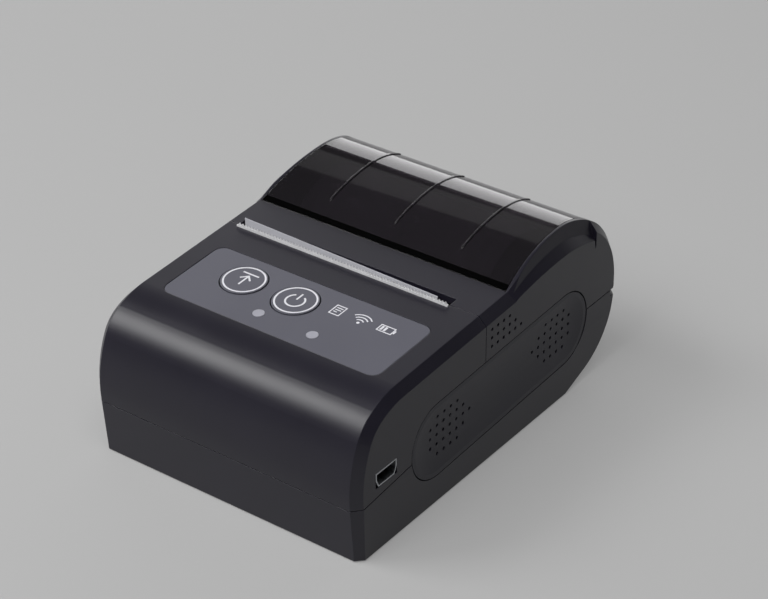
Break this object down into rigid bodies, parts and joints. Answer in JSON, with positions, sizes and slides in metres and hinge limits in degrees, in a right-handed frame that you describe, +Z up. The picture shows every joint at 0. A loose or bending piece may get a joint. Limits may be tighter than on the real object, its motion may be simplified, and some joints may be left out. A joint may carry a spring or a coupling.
{
  "type": "portable receipt printer",
  "caption": "Pocket thermal receipt printer with a hinged window cover, paper roll, geared platen, print head, keys and a battery bay.",
  "frame": {"origin": "on the resting plane, under the middle of the casing", "axes": "+X to the right as seen from the key end, +Y from the key end to the hinge, +Z up"},
  "size_m": [0.078, 0.1072, 0.0474],
  "materials": {
    "shell_plastic": "satin",
    "panel_plastic": "satin",
    "smoked_window": "gloss",
    "label_film": "satin",
    "lamp_lens": "gloss",
    "blade_steel": "satin",
    "steel": "satin",
    "head_aluminium": "satin",
    "head_ceramic": "gloss",
    "roller_rubber": "matte",
    "gear_plastic": "satin",
    "inner_plastic": "matte",
    "thermal_paper": "matte",
    "roll_card": "matte",
    "board": "satin",
    "chip": "matte",
    "ribbon": "satin",
    "contact_brass": "satin",
    "battery_case": "satin",
    "foot_rubber": "matte"
  },
  "bodies": {
    "case": {"battery_contacts": "contact_brass", "battery_pack": "battery_case", "board_screws": "steel", "buzzer": "chip", "case_screws": "steel", "feed_switch": "chip", "front_housing": "shell_plastic", "head_cable": "ribbon", "head_connector": "gear_plastic", "head_spring": "steel", "hinge_pin": "steel", "idler_axle": "steel", "key_board": "board", "key_board_screws": "steel", "key_cable": "ribbon", "label_panel": "label_film", "lamp_chips": "gear_plastic", "lower_shell": "shell_plastic", "main_board": "board", "mechanism_frame": "steel", "mini_usb_socket": "steel", "mini_usb_tongue": "chip", "motor_cable": "ribbon", "motor_connector": "gear_plastic", "motor_driver": "chip", "paper_motor": "steel", "paper_sensor": "chip", "paper_tray": "inner_plastic", "paper_web": "thermal_paper", "power_coil": "chip", "power_lamp_window": "lamp_lens", "power_switch": "chip", "processor": "chip", "rubber_feet": "foot_rubber", "side_panel_left": "panel_plastic", "side_panel_right": "panel_plastic", "status_lamp_window": "lamp_lens", "tear_bar": "blade_steel", "wireless_board": "board", "wireless_shield": "steel"},
    "cover": {"rear_cover": "shell_plastic", "cover_window": "smoked_window", "platen_bracket": "inner_plastic", "platen_bushes": "gear_plastic"},
    "platen": {"platen_rubber": "roller_rubber", "platen_shaft": "steel", "platen_gear": "gear_plastic"},
    "idler": {"idler_gear": "gear_plastic"},
    "motor_rotor": {"motor_shaft": "steel", "motor_pinion": "contact_brass"},
    "roll": {"paper_roll": "thermal_paper", "roll_core": "roll_card"},
    "head": {"print_head": "head_ceramic", "heat_sink": "head_aluminium"},
    "feed_key": {"feed_button": "label_film", "feed_switch_plunger": "chip"},
    "power_key": {"power_button": "label_film", "power_switch_plunger": "chip"},
    "door": {"battery_door": "shell_plastic"}
  },
  "joints": [
    {"name": "cover_hinge", "type": "hinge", "parent": "case", "child": "cover", "pos_m": [0, 0.052, 0.0214], "axis": [-1, 0, 0], "range_deg": [0, 80]},
    {"name": "platen_spin", "type": "hinge", "parent": "cover", "child": "platen", "pos_m": [0, 0.0014, 0.0342], "axis": [1, 0, 0], "continuous": true},
    {"name": "roll_spin", "type": "hinge", "parent": "case", "child": "roll", "pos_m": [0, 0.031, 0.0223], "axis": [1, 0, 0], "continuous": true},
    {"name": "idler_spin", "type": "hinge", "parent": "case", "child": "idler", "pos_m": [0, -0.00198, 0.02695], "axis": [1, 0, 0], "continuous": true},
    {"name": "motor_spin", "type": "hinge", "parent": "case", "child": "motor_rotor", "pos_m": [0, -0.01212, 0.02423], "axis": [1, 0, 0], "continuous": true},
    {"name": "head_swing", "type": "hinge", "parent": "case", "child": "head", "pos_m": [0, -0.0058, 0.032], "axis": [1, 0, 0], "range_deg": [0, 2], "stiffness_Nm_per_rad": 1, "springref_deg": -3.44},
    {"name": "feed_key_press", "type": "slide", "parent": "case", "child": "feed_key", "axis": [0, 0.0489, -0.9988], "range_m": [0, 0.0006], "stiffness_N_per_m": 800, "springref_m": -0.0005},
    {"name": "power_key_press", "type": "slide", "parent": "case", "child": "power_key", "axis": [0, 0.0489, -0.9988], "range_m": [0, 0.0006], "stiffness_N_per_m": 800, "springref_m": -0.0005},
    {"name": "battery_door_hinge", "type": "hinge", "parent": "case", "child": "door", "pos_m": [0, 0.00335, 0.0012], "axis": [1, 0, 0], "range_deg": [0, 60]}
  ],
  "couplings": [
    {"joint": "platen_spin", "follows": "roll_spin", "ratio": 4.2353},
    {"joint": "idler_spin", "follows": "roll_spin", "ratio": -5.4454},
    {"joint": "motor_spin", "follows": "roll_spin", "ratio": 10.891}
  ]
}
